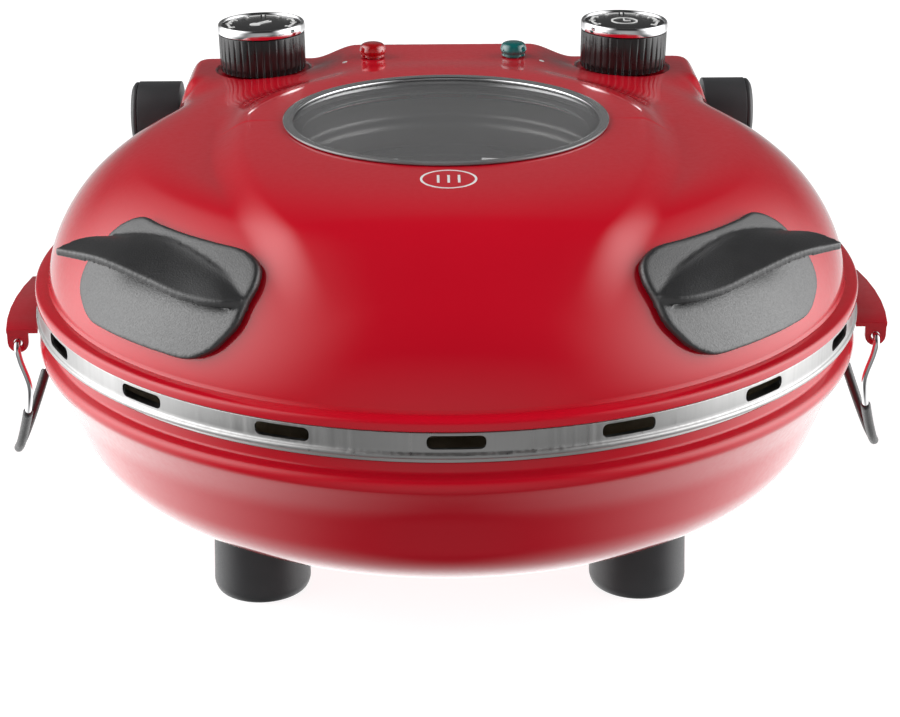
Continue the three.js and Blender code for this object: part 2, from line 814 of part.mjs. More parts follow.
function bailPath() {
  const half = [
    [0, 28.6, 0], [0, 34.4, 0], [-0.2, 36.2, -1.9], [-0.8, 35.6, -7], [-2.9, 32, -19.5], [-1.5, 27.5, -29],
    [3.6, 15.5, -46], [8.6, 5.2, -59.5],
  ];
  const front = half.map(([x, y, z]) => [x, -y, z]);
  const loop = [...front, [10.6, 0, -63.2], ...half.reverse()];
  return new THREE.CatmullRomCurve3(
    loop.map(([x, y, z]) => new THREE.Vector3(x + latchX, y, z + latchZ)), false, 'centripetal',
  );
}

function hingePost() {
  const barrel = extrudeAlongX(ringShape(barrelRadius, 28), postInner, postOuter);
  barrel.translate(0, hingeY, hingeZ);
  const leg = extrudeAlongX(polygon([
    [158, 20], [152, -13], [84, -22], [84, -46], [126, -58], [152, -50], [176, -26], [188, 14],
  ]), postInner, postOuter);
  const bore = extrudeAlongX(ringShape(pinRadius + gap, 12), postInner - 1, postOuter + 1);
  bore.translate(0, hingeY, hingeZ);
  return cut(join(barrel, leg), bore, bowlSolid(2 * gap));
}

function alongX(geometry, x) {
  geometry.rotateY(Math.PI / 2);
  geometry.translate(x, hingeY, hingeZ);
  return geometry;
}

function hingeCap() {
  return alongX(revolve([
    [0, gap], [16.4, gap], [16.4, 2], [14, 3.8], [0, 4.5],
  ], 18), postOuter);
}

function cordInlet() {
  const bush = revolve([[3.4, -6], [5, -6], [5, 3], [8, 3], [7.2, 6.5], [3.4, 6.5]], 14);
  bush.rotateX(-Math.PI / 2);
  bush.translate(0, inletY, inletZ);
  return bush;
}

function buildBase() {
  const footCentres = [
    ['front_left', -footX, -footY], ['front_right', footX, -footY],
    ['rear_left', -footX, footY], ['rear_right', footX, footY],
  ];
  const screwHoles = footCentres.map(([, x, y]) => (
    cylinder(footScrewRadius + 0.4, -95, -75, 8).translate(x, y, 0)
  ));
  const inletHole = cylinder(5.8, -10, 10).rotateX(Math.PI / 2).translate(0, inletY, inletZ);
  const bowl = revolve(sheetProfile(bowlLine(), sheet), bowlSegments);
  place('base_shell', cut(bowl, ...screwHoles, inletHole), redEnamel);
  const liner = revolve(sheetProfile(linerLine, thin), 28);
  place('base_liner', cut(liner, ...tailHoles(lowerElementRadius, -70, -50)), innerSteel);
  const bottom = stoneTop - stoneThickness;
  place('baking_stone', revolve([
    [0, bottom], [stoneRadius - 1.5, bottom], [stoneRadius, bottom + 1.5], [stoneRadius, stoneTop - 1.5],
    [stoneRadius - 1.5, stoneTop], [0, stoneTop],
  ], 32), cordierite);
  const path = elementPath(lowerElementRadius, lowerElementHeight, -72);
  place('lower_element', tube(path, elementTube, 6, 40), elementSteel);
  for (let i = 0; i < 3; i += 1) {
    const azimuth = -Math.PI / 2 + i * 2 * Math.PI / 3;
    const clip = elementClip(-59.2, lowerElementHeight, lowerElementRadius, azimuth);
    place(`lower_element_clip_${i + 1}`, clip, zincSteel);
  }
  for (const [where, x, y] of footCentres) {
    place(`foot_${where}`, cut(foot().translate(x, y, 0), bowlSolid(gap)), footPlastic);
    place(`foot_screw_${where}`, footScrew().translate(x, y, 0), zincSteel);
  }
  for (const side of ['left', 'right']) {
    place(`latch_bracket_${side}`, onSide(latchBracket(), side), redEnamel);
    place(`hinge_post_${side}`, onSide(hingePost(), side), blackPlastic);
    place(`hinge_cap_${side}`, onSide(hingeCap(), side), blackPlastic);
    const pin = alongX(cylinder(pinRadius, 0, postOuter - lugInner - 1.5, 12), lugInner + 1);
    place(`hinge_pin_${side}`, onSide(pin, side), zincSteel);
    const wire = bailPath();
    place(`bail_wire_${side}`, onSide(tube(wire, wireRadius, 6, 30), side), chrome);
    const covered = new PartOfCurve(wire, 0.27, 0.73);
    const sleeve = tube(covered, sleeveRadius, 6, 14, wireRadius + 0.35);
    place(`bail_sleeve_${side}`, onSide(sleeve, side), blackPlastic);
  }
  place('cord_inlet', cordInlet(), blackPlastic);
}

buildBase();
buildLid();
buildControl('temperature', 'thermostat', -knobX, 14, 17);
buildControl('timer', 'timer_unit', knobX, 16, 20);

export default object;
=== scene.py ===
"""Countertop pizza oven: the finished look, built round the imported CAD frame.

Outlines are in millimetres. Heights are measured from the lid's lower edge and plan
positions from the lid's centre, and place() puts them into the frame's own metres.
"""
import math

import bmesh
import bpy
import numpy as np
from mathutils import Matrix, Vector


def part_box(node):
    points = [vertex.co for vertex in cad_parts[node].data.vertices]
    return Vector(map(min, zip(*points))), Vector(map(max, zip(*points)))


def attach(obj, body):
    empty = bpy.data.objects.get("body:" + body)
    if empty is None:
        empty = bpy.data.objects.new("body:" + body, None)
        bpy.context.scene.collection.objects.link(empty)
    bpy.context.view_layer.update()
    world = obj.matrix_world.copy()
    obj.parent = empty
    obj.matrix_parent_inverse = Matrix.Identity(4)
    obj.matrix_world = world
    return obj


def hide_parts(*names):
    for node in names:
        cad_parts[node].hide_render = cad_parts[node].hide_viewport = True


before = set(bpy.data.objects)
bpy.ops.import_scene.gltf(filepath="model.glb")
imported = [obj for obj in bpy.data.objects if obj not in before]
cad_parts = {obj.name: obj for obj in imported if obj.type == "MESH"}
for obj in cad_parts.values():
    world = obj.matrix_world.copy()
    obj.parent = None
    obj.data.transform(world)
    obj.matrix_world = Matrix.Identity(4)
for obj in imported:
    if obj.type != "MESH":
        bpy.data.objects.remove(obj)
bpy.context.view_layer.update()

MM = 0.001
GLASS_LOW, GLASS_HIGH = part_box("window_glass")
CENTRE = Vector((0, (GLASS_LOW.y + GLASS_HIGH.y) / 2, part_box("lid_shell")[0].z))
SIDES = (("left", -1), ("right", 1))


# ---------- materials ----------
def shader(name):
    made = bpy.data.materials.new(name)
    made.use_nodes = True
    tree = made.node_tree
    return made, tree, tree.nodes["Principled BSDF"]


def noise_of(tree, scale, detail=4.0, stretch=(1, 1, 1)):
    """Object-space noise, stretched along an axis by a small number."""
    place_node = tree.nodes.new("ShaderNodeTexCoord")
    mapping = tree.nodes.new("ShaderNodeMapping")
    mapping.inputs["Scale"].default_value = stretch
    noise = tree.nodes.new("ShaderNodeTexNoise")
    noise.inputs["Scale"].default_value = scale
    noise.inputs["Detail"].default_value = detail
    tree.links.new(place_node.outputs["Object"], mapping.inputs["Vector"])
    tree.links.new(mapping.outputs["Vector"], noise.inputs["Vector"])
    return noise.outputs["Fac"]


def blended(tree, amount, first, second, low=0.3, high=0.7):
    """A colour between two, by a 0 to 1 pattern."""
    ramp = tree.nodes.new("ShaderNodeValToRGB")
    ramp.color_ramp.elements[0].position = low
    ramp.color_ramp.elements[1].position = high
    ramp.color_ramp.elements[0].color = (*first, 1)
    ramp.color_ramp.elements[1].color = (*second, 1)
    tree.links.new(amount, ramp.inputs["Fac"])
    return ramp.outputs["Color"]


def ranged(tree, amount, low, high):
    node = tree.nodes.new("ShaderNodeMapRange")
    node.inputs["From Min"].default_value = 0.3
    node.inputs["From Max"].default_value = 0.7
    node.inputs["To Min"].default_value = low
    node.inputs["To Max"].default_value = high
    tree.links.new(amount, node.inputs["Value"])
    return node.outputs["Result"]


def bump(tree, bsdf, amount, distance):
    node = tree.nodes.new("ShaderNodeBump")
    node.inputs["Distance"].default_value = distance * MM
    node.inputs["Strength"].default_value = 1.0
    tree.links.new(amount, node.inputs["Height"])
    tree.links.new(node.outputs["Normal"], bsdf.inputs["Normal"])


def finish(name, colours, roughness, metallic=0.0, tint_scale=30, grain_scale=900,
           grain=0.02, stretch=(1, 1, 1), **sockets):
    """A surface with a colour drift, an uneven roughness and a fine grain."""
    made, tree, bsdf = shader(name)
    drift = noise_of(tree, tint_scale)
    fine = noise_of(tree, grain_scale, 6.0, stretch)
    tree.links.new(blended(tree, drift, *colours), bsdf.inputs["Base Color"])
    tree.links.new(ranged(tree, fine, *roughness), bsdf.inputs["Roughness"])
    bump(tree, bsdf, fine, grain)
    bsdf.inputs["Metallic"].default_value = metallic
    for socket, value in sockets.items():
        bsdf.inputs[socket.replace("_", " ")].default_value = value
    return made


RED = finish("red_enamel_paint", ((0.60, 0.003, 0.016), (0.64, 0.004, 0.019)), (0.3, 0.38),
             tint_scale=9, grain_scale=420, grain=0.003, Specular_IOR_Level=0.1, Coat_Weight=1.0,
             Coat_Roughness=0.05, Coat_IOR=1.45)
BELT = finish("belt_brushed_steel", ((0.36, 0.36, 0.357), (0.5, 0.497, 0.494)), (0.26, 0.5), 1.0,
              tint_scale=16, grain_scale=500, grain=0.012, stretch=(1, 1, 0.04))
INNER = finish("inner_steel_sheet", ((0.40, 0.395, 0.385), (0.56, 0.555, 0.55)), (0.3, 0.45), 1.0,
               tint_scale=12, grain_scale=120, grain=0.01, stretch=(1, 1, 6))
ZINC = finish("zinc_plate", ((0.46, 0.46, 0.47), (0.60, 0.60, 0.61)), (0.28, 0.42), 1.0,
              tint_scale=80, grain_scale=1500, grain=0.01)
ELEMENT = finish("element_sheath", ((0.10, 0.095, 0.09), (0.20, 0.185, 0.17)), (0.4, 0.6), 0.8,
                 tint_scale=40, grain_scale=1400, grain=0.03)
CHROME = finish("chrome_trim", ((0.80, 0.80, 0.81), (0.88, 0.88, 0.89)), (0.04, 0.09), 1.0,
                tint_scale=60, grain_scale=700, grain=0.001)
GRIP = finish("black_grip_plastic", ((0.016, 0.016, 0.017), (0.026, 0.026, 0.027)), (0.3, 0.5),
              tint_scale=60, grain_scale=1500, grain=0.1, Specular_IOR_Level=1.0)
GLOSS = finish("black_gloss_plastic", ((0.012, 0.012, 0.0125), (0.017, 0.017, 0.0175)), (0.16, 0.26),
               tint_scale=60, grain_scale=1200, grain=0.006)
FOOT = finish("dark_grey_plastic", ((0.032, 0.033, 0.035), (0.045, 0.046, 0.049)), (0.34, 0.5),
              tint_scale=50, grain_scale=1700, grain=0.03)
SEAL = finish("grey_seal", ((0.13, 0.131, 0.133), (0.17, 0.171, 0.173)), (0.12, 0.24),
              tint_scale=50, grain_scale=900, grain=0.004, Coat_Weight=1.0, Coat_Roughness=0.04)
STONE = finish("cordierite_stone", ((0.42, 0.33, 0.215), (0.60, 0.50, 0.36)), (0.82, 0.95),
               tint_scale=55, grain_scale=800, grain=0.25)
MARK = finish("white_print", ((0.80, 0.80, 0.79), (0.88, 0.88, 0.875)), (0.4, 0.5),
              tint_scale=100, grain_scale=1500, grain=0.003)
PANE = finish("smoked_pane", ((0.19, 0.19, 0.193), (0.22, 0.22, 0.223)), (0.03, 0.06),
              tint_scale=10, grain_scale=300, grain=0.0005, Alpha=0.45, IOR=1.5)
RED_LENS = finish("red_lens", ((0.50, 0.002, 0.006), (0.66, 0.008, 0.012)), (0.05, 0.1),
                  tint_scale=90, grain_scale=700, grain=0.002, Transmission_Weight=0.35, Coat_Weight=1.0,
                  Coat_Roughness=0.03)
GREEN_LENS = finish("green_lens", ((0.004, 0.16, 0.155), (0.01, 0.26, 0.25)), (0.05, 0.1),
                    tint_scale=90, grain_scale=700, grain=0.002, Transmission_Weight=0.35, Coat_Weight=1.0,
                    Coat_Roughness=0.03)
FLOOR = finish("pale_floor", ((0.30, 0.30, 0.30), (0.31, 0.31, 0.31)), (0.5, 0.6),
               tint_scale=2, grain_scale=200, grain=0.01, Emission_Color=(1, 1, 1, 1),
               Emission_Strength=0.9)


# ---------- mesh building ----------
def place(points):
    """Millimetres in the rim's frame to metres in the part's."""
    return np.asarray(points, float) * MM + np.array(CENTRE)


def shade(mesh, crease):
    """Smooth faces, with a sharp edge wherever two meet at more than crease degrees."""
    bm = bmesh.new()
    bm.from_mesh(mesh)
    for face in bm.faces:
        face.smooth = True
    limit = math.radians(crease)
    for edge in bm.edges:
        edge.smooth = not edge.is_manifold or edge.calc_face_angle(0) < limit
    bm.to_mesh(mesh)
    bm.free()


def piece(name, points, faces, material, body, nodes=(), crease=35):
    """Makes a closed mesh, turns its faces outwards and hangs it on its CAD body."""
    mesh = bpy.data.meshes.new(name)
    mesh.from_pydata(place(points).tolist(), [], faces)
    bm = bmesh.new()
    bm.from_mesh(mesh)
    bmesh.ops.remove_doubles(bm, verts=bm.verts, dist=1e-6)
    bmesh.ops.recalc_face_normals(bm, faces=bm.faces)
    bm.to_mesh(mesh)
    bm.free()
    shade(mesh, crease)
    mesh.materials.append(material)
    made = bpy.data.objects.new(name, mesh)
    bpy.context.scene.collection.objects.link(made)
    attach(made, body)
    if nodes:
        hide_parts(*nodes)
    return made


def rounded(outline, radius, steps=4, closed=True):
    """Softens an outline's corners. A point may carry its own radius as a third number."""
    result = []
    count = len(outline)
    for i, corner in enumerate(outline):
        here = np.array(corner[:2], float)
        own = corner[2] if len(corner) > 2 else radius
        if own == 0 or (not closed and i in (0, count - 1)):
            result.append(here)
            continue
        before = np.array(outline[i - 1][:2], float) - here
        after = np.array(outline[(i + 1) % count][:2], float) - here
        sizes = np.linalg.norm(before), np.linalg.norm(after)
        reach = min(own, 0.48 * sizes[0], 0.48 * sizes[1])
        start = here + before / sizes[0] * reach
        end = here + after / sizes[1] * reach
        for t in np.linspace(0, 1, steps + 1):
            result.append((1 - t) ** 2 * start + 2 * t * (1 - t) * here + t ** 2 * end)
    return np.array(result)


def grid_faces(rows, columns, closed_rows):
    """Quads between rows of points that each close on themselves."""
    last = rows if closed_rows else rows - 1
    return [
        (i * columns + j, i * columns + (j + 1) % columns,
         (i + 1) % rows * columns + (j + 1) % columns, (i + 1) % rows * columns + j)
        for i in range(last) for j in range(columns)
    ]


def turned(profile, segments, wave=None):
    """A body of revolution. The profile closes on itself or starts and ends on the axis."""
    profile = np.asarray(profile, float)
    on_axis = profile[0][0] < 1e-6 and profile[-1][0] < 1e-6
    azimuths = np.linspace(0, 2 * math.pi, segments, endpoint=False)
    rows = profile[1:-1] if on_axis else profile
    points = []
    for radius, height in rows:
        reach = radius + (wave(azimuths, radius, height) if wave else 0)
        points += list(zip(reach * np.cos(azimuths), reach * np.sin(azimuths), np.full(segments, height)))
    faces = grid_faces(len(rows), segments, not on_axis)
    if on_axis:
        for row, height in ((0, profile[0][1]), (len(rows) - 1, profile[-1][1])):
            pole = len(points)
            points.append((0, 0, height))
            ring = range(row * segments, (row + 1) * segments)
            faces += [(ring[j], ring[(j + 1) % segments], pole) for j in range(segments)]
    return np.array(points), faces


def prism(outline, low, high):
    """An upright block with a flat outline."""
    count = len(outline)
    points = [(x, y, z) for z in (low, high) for x, y in outline]
    faces = [tuple(range(count)), tuple(range(count, 2 * count))]
    faces += [(j, (j + 1) % count, count + (j + 1) % count, count + j) for j in range(count)]
    return np.array(points, float), faces


def moved(shape, matrix):
    points, faces = shape
    turned_points = [tuple(matrix @ Vector(p)) for p in points]
    return np.array(turned_points), faces


def mirrored(shape, sign):
    points, faces = shape
    return np.array(points) * np.array([sign, 1, 1]), faces


def merged(*shapes):
    points, faces = [], []
    for more, corners in shapes:
        start = len(points)
        points += [tuple(p) for p in more]
        faces += [tuple(start + c for c in face) for face in corners]
    return np.array(points), faces


def smooth_path(controls, per_span):
    """A centripetal Catmull-Rom curve through the controls."""
    pts = np.array(controls, float)
    pts = np.vstack([2 * pts[0] - pts[1], pts, 2 * pts[-1] - pts[-2]])
    out = []
    for i in range(1, len(pts) - 2):
        p0, p1, p2, p3 = pts[i - 1:i + 3]
        t0 = 0.0
        t1 = t0 + np.linalg.norm(p1 - p0) ** 0.5
        t2 = t1 + np.linalg.norm(p2 - p1) ** 0.5
        t3 = t2 + np.linalg.norm(p3 - p2) ** 0.5
        for t in np.linspace(t1, t2, per_span, endpoint=False):
            a1 = ((t1 - t) * p0 + (t - t0) * p1) / (t1 - t0)
            a2 = ((t2 - t) * p1 + (t - t1) * p2) / (t2 - t1)
            a3 = ((t3 - t) * p2 + (t - t2) * p3) / (t3 - t2)
            b1 = ((t2 - t) * a1 + (t - t0) * a2) / (t2 - t0)
            b2 = ((t3 - t) * a2 + (t - t1) * a3) / (t3 - t1)
            out.append(((t2 - t) * b1 + (t - t1) * b2) / (t2 - t1))
    out.append(pts[-2])
    return np.array(out)


def resampled(path, spots):
    """Points at the given shares of a path's count."""
    shares = np.linspace(0, 1, len(path))
    return np.array([[np.interp(t, shares, path[:, k]) for k in range(3)] for t in spots])


def swept(path, radii, sides=14):
    """A round bar along a path, with rounded ends. radii is one size or one for each point."""
    path = np.asarray(path, float)
    radii = np.broadcast_to(radii, len(path)).astype(float)
    tangents = np.gradient(path, axis=0)
    tangents /= np.linalg.norm(tangents, axis=1)[:, None]
    side = np.cross(tangents[0], [0.3, 0.5, 0.8])
    rows = []
    for point, tangent, radius in zip(path, tangents, radii):
        side = side - tangent * (side @ tangent)
        side /= np.linalg.norm(side)
        up = np.cross(tangent, side)
        rows.append((point, tangent, side, up, radius))
    caps = [(-1, rows[0]), (1, rows[-1])]
    rings = []
    for sign, (point, tangent, side, up, radius) in caps:
        cap = []
        for turn in (0.95, 0.7, 0.35):
            centre = point + sign * tangent * radius * math.sin(turn * math.pi / 2) * 0.6
            cap.append((centre, side, up, radius * math.cos(turn * math.pi / 2)))
        rings.append(cap if sign < 0 else cap[::-1])
    body = [(point, side, up, radius) for point, tangent, side, up, radius in rows]
    everything = rings[0] + body + rings[1]
    turns = np.linspace(0, 2 * math.pi, sides, endpoint=False)
    points = [
        centre + radius * (math.cos(a) * side + math.sin(a) * up)
        for centre, side, up, radius in everything for a in turns
    ]
    faces = grid_faces(len(everything), sides, False)
    faces += [tuple(range(sides)), tuple(range(len(points) - sides, len(points)))]
    return np.array(points), faces


def refined(node, material, body, edge=0.5, steps=2, crease=30):
    """A CAD piece with its facets merged and its corners rounded."""
    bm = bmesh.new()
    bm.from_mesh(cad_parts[node].data)
    bmesh.ops.remove_doubles(bm, verts=bm.verts, dist=2e-6)
    bmesh.ops.dissolve_limit(bm, angle_limit=math.radians(1.0), verts=bm.verts, edges=bm.edges)
    if edge:
        corners = [e for e in bm.edges if e.is_manifold and e.calc_face_angle(0) > math.radians(crease)]
        bmesh.ops.bevel(bm, geom=corners, offset=edge * MM, segments=steps, profile=0.5,
                        affect="EDGES", clamp_overlap=True)
    mesh = bpy.data.meshes.new(f"{node}_finished")
    bm.to_mesh(mesh)
    bm.free()
    shade(mesh, crease)
    mesh.materials.append(material)
    made = bpy.data.objects.new(mesh.name, mesh)
    bpy.context.scene.collection.objects.link(made)
    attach(made, body)
    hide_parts(node)
    return made


def carved(target, shapes, crease=35):
    """Cuts shapes, given in millimetres, out of a finished piece."""
    points, faces = merged(*shapes)
    mesh = bpy.data.meshes.new("cutter")
    mesh.from_pydata(place(points).tolist(), [], faces)
    bm = bmesh.new()
    bm.from_mesh(mesh)
    bmesh.ops.recalc_face_normals(bm, faces=bm.faces)
    bm.to_mesh(mesh)
    bm.free()
    cutter = bpy.data.objects.new("cutter", mesh)
    bpy.context.scene.collection.objects.link(cutter)
    boolean = target.modifiers.new("cut", "BOOLEAN")
    boolean.operation = "DIFFERENCE"
    boolean.solver = "EXACT"
    boolean.object = cutter
    graph = bpy.context.evaluated_depsgraph_get()
    result = bpy.data.meshes.new_from_object(target.evaluated_get(graph))
    target.modifiers.clear()
    target.data = result
    bpy.data.objects.remove(cutter)
    shade(result, crease)


# ---------- lid surface ----------
DOME_RADIUS, DOME_FOOT, DOME_RISE = 169, 4.7, 65.9
PLAN_POWER, RISE_POWER, CROWN = 4.17, 1.64, 59
HOLE_RADIUS, HUMP_TOP, HUMP_FOOT, HUMP_SLOPE = 66, 65.8, 98, 16
CONSOLE_HALF, CONSOLE_BACK, CONSOLE_CORNER, CONSOLE_EDGE, CONSOLE_TOP = 127, 146.5, 16, 12, 58.5
PAD_TOP, PAD_HALF, PAD_FOOT = 64.9, 41, 63
SHEET = 1.6


def smooth(t):
    s = np.clip(t, 0, 1)
    return s * s * (3 - 2 * s)


def smooth_max(a, b, width):
    share = np.clip(0.5 + 0.5 * (a - b) / width, 0, 1)
    return b + (a - b) * share + width * share * (1 - share)


def superellipse(radius, rise, power):
    inside = np.maximum(1 - (radius / DOME_RADIUS) ** power, 0)
    return DOME_FOOT + rise * inside ** (1 / RISE_POWER)


def inside_console(x, y):
    qx = np.abs(x) - (CONSOLE_HALF - CONSOLE_CORNER)
    qy = y - (CONSOLE_BACK - CONSOLE_CORNER)
    outside = np.hypot(np.maximum(qx, 0), np.maximum(qy, 0))
    return CONSOLE_CORNER - outside - np.minimum(np.maximum(qx, qy), 0)


def console_surface(x, y):
    ramp = smooth((PAD_FOOT - np.abs(x)) / (PAD_FOOT - PAD_HALF))
    top = CONSOLE_TOP + (PAD_TOP - CONSOLE_TOP) * ramp
    depth = np.clip(inside_console(x, y) / CONSOLE_EDGE, 0, 1)
    return DOME_FOOT + (top - DOME_FOOT) * np.sqrt(1 - (1 - depth) ** 2)


def pressed_height(x, y):
    radius = np.hypot(x, y)
    height = -smooth_max(-superellipse(radius, DOME_RISE, PLAN_POWER), -float(CROWN), 4)
    raised = smooth_max(height, console_surface(x, y), 6)
    height = height + (raised - height) * smooth((y - 46) / 48)
    forward = np.maximum(-y, 0)
    edge = HUMP_FOOT - 0.000559 * forward ** 2.235
    rear_edge = HUMP_FOOT + 6 * smooth(y / 60)
    reach = np.where(y < 0, edge - np.abs(x), rear_edge - radius)
    tongue = superellipse(radius, HUMP_TOP - DOME_FOOT, 7.2)
    target = np.maximum(np.where(y < 0, tongue, HUMP_TOP), height)
    fade = smooth((152 - forward) / 34)
    return height + (target - height) * smooth(reach / HUMP_SLOPE) * fade


def lid_height(x, y):
    """The pressing's height, with its creases drawn soft towards the back."""
    sharp = pressed_height(x, y)
    reach = 8.0
    turns = np.linspace(0, 2 * math.pi, 12, endpoint=False)
    near = [pressed_height(x + reach * math.cos(a), y + reach * math.sin(a)) for a in turns]
    nearer = [pressed_height(x + reach / 2 * math.cos(a), y + reach / 2 * math.sin(a)) for a in turns]
    soft = (np.mean(near, axis=0) + np.mean(nearer, axis=0)) / 2
    inside = smooth((DOME_RADIUS - 14 - np.hypot(x, y)) / 10) * smooth((np.hypot(x, y) - 76) / 8)
    return sharp + (soft - sharp) * smooth((y - 5) / 35) * smooth((118 - y) / 25) * inside


def lid_reach(azimuth):
    """Outer radius in one direction: the dome's, or the console's corner beyond it."""
    dx, dy = math.cos(azimuth), math.sin(azimuth)
    if dy <= 0.35:
        return DOME_RADIUS
    radii = np.linspace(100, 200, 2001)
    inside = radii[inside_console(dx * radii, dy * radii) > 0]
    return max(DOME_RADIUS, inside.max())


def lid_section(azimuth, rings):
    """The closed outline of the lid's sheet in one direction, from the lip inwards."""
    dx, dy = math.cos(azimuth), math.sin(azimuth)
    reach = lid_reach(azimuth)
    lip = rounded([(173.4, 0, 0.3), (175, 0, 0.5), (174.8, 3.7, 1.3), (171.2, 4.5, 1.0), (169.5, 4.5, 0)],
                  0.5, 4, closed=False)
    share = np.linspace(0, 1, rings)
    radii = reach - 0.05 - (reach - 0.05 - HOLE_RADIUS - 0.5) * share ** 1.8
    heights = lid_height(dx * radii, dy * radii)
    outer = np.column_stack([radii, heights])
    edge = [(HOLE_RADIUS + 0.1, heights[-1] - 0.25), (HOLE_RADIUS, heights[-1] - 0.8),
            (HOLE_RADIUS, heights[-1] - SHEET)]
    slope = np.gradient(heights, radii)
    across = np.column_stack([-slope, np.ones(rings)]) / np.hypot(slope, 1)[:, None]
    inner = (outer - across * SHEET)[::-1][2::4]
    inner = inner[inner[:, 1] > 6.8]
    ends = [(min(168.6, reach - 1.7), 6.6), (169.9, 3.3), (173, 3.1)]
    return np.vstack([lip, outer, edge, inner, ends]), dx, dy


# ---------- lid ----------
KNOB_X, KNOB_Y, KNOB_SEAT = 84.8, 114.8, 58.9
KNOB_TILT = math.radians(1)
KNOB_RADIUS, KNOB_DECK, DIAL_RADIUS = 20.3, 19.1, 18.1
WELL_RADIUS, WELL_DEPTH = 22.5, 1.0
LAMP_X, LAMP_Y = 33, 110.5
DOT_X, DOT_Y = 46, 104.5


def at_knob(sign):
    """The tilted seat of the control on one side."""
    seat = Matrix.Translation((sign * KNOB_X, KNOB_Y, KNOB_SEAT))
    return seat @ Matrix.Rotation(sign * KNOB_TILT, 4, "Y")


def make_lid():
    segments, rings = 540, 132
    sections = []
    for i in range(segments):
        section, dx, dy = lid_section(2 * math.pi * i / segments, rings)
        sections.append((section, dx, dy))
    size = max(len(s) for s, dx, dy in sections)
    points = []
    for section, dx, dy in sections:
        spare = size - len(section)
        section = np.vstack([section, np.repeat(section[-1:], spare, axis=0)])
        section[-spare - 1:] = np.linspace(section[-spare - 1], section[0], spare + 2)[:-1]
        points += [(dx * r, dy * r, z) for r, z in section]
    faces = grid_faces(segments, size, True)
    lid = piece("lid_shell_enamelled", points, faces, RED, "lid", ["lid_shell"], crease=50)
    wells = [moved(turned([(0, -WELL_DEPTH), (WELL_RADIUS, -WELL_DEPTH), (WELL_RADIUS, 25), (0, 25)], 120),
                   at_knob(sign)) for side, sign in SIDES]
    carved(lid, wells, crease=50)
    for side, sign in SIDES:
        dish = rounded([(3.4, -2.6, 0), (WELL_RADIUS + 1.2, -2.6, 0), (WELL_RADIUS + 1.2, -0.4, 0.3),
                        (WELL_RADIUS + 0.1, 0.1, 0.4), (WELL_RADIUS - 0.1, -WELL_DEPTH, 0.8),
                        (3.4, -WELL_DEPTH, 0)], 0.4, 4)
        points, faces = moved(turned(dish, 120), at_knob(sign))
        piece(f"knob_well_{side}", points, faces, RED, "lid")


SLOTS, SLOT_HALF, SLOT_LOW, SLOT_HIGH = 17, 10.7, -6.9, -1.6
SLOT_TURN, SLOT_DEPTHS = math.radians(0.44), (171.0, 179.0)


def make_belt():
    outline = rounded([(165.5, -11, 0), (173.4, -11, 0.6), (175.3, -10.4, 0.9), (175.3, -8.9, 0.9),
                       (174.3, -8.2, 0.5), (174.2, -6.9, 0.3), (174.2, -0.4, 0.4), (166, -0.4, 0),
                       (166, -1.1, 0), (173.2, -1.1, 0.4), (173.2, -10.2, 0.4), (165.5, -10.2, 0)], 0.4, 4)
    points, faces = turned(outline, 408)
    belt = piece("vent_belt_brushed", points, faces, BELT, "lid", ["vent_belt"], crease=40)
    half, low, high, count = SLOT_HALF, SLOT_LOW, SLOT_HIGH, SLOTS
    slots = []
    outline = rounded([(-half, low), (half, low), (half, high), (-half, high)], 2.65, 7)
    for i in range(count):
        azimuth = SLOT_TURN - math.pi / 2 + 2 * math.pi * i / count
        out = np.array([math.cos(azimuth), math.sin(azimuth), 0])
        along = np.array([-math.sin(azimuth), math.cos(azimuth), 0])
        block, faces = prism(outline, *SLOT_DEPTHS)
        slots.append((np.array([out * depth + along * x + (0, 0, z) for x, z, depth in block]), faces))
    carved(belt, slots, crease=40)


def sheet_outline(middle, thickness, softness=2.0):
    """A bent sheet's closed outline, from its middle line, which may start or end on the axis."""
    line = rounded(middle, softness, 4, closed=False)
    direction = np.gradient(line, axis=0)
    direction /= np.linalg.norm(direction, axis=1)[:, None]
    normal = np.column_stack([-direction[:, 1], direction[:, 0]])
    normal[line[:, 0] < 1e-6] = (0, 1)
    upper, lower = line + normal * thickness / 2, line - normal * thickness / 2
    return np.vstack([upper, lower[::-1]])


REFLECTOR_LINE = [(172, 0.6), (166, 0.6), (161, 11), (150, 22), (118, 32), (64, 36), (62, 38), (62, 46),
                  (66.4, 48.5), (66.4, 57)]
LINER_LINE = [(169.7, -14), (169.5, -11.9), (165, -11.9), (164, -13.5), (163.5, -34.5), (161.5, -36.6),
              (150, -36.6), (147, -57), (140, -60), (0, -60)]


def make_linings():
    points, faces = turned(sheet_outline(REFLECTOR_LINE, 0.8), 180)
    piece("lid_reflector_pressed", points, faces, INNER, "lid", ["lid_reflector"])
    points, faces = turned(sheet_outline(LINER_LINE[::-1], 0.8, 1.2), 180)
    piece("base_liner_pressed", points, faces, INNER, "base", ["base_liner"])


SCREW_REACH, SCREW_TURNS = 61.8, (42, 90, 138, 222, 318)
CAUTION_Y, PRINT_LIFT = -84, 0.02


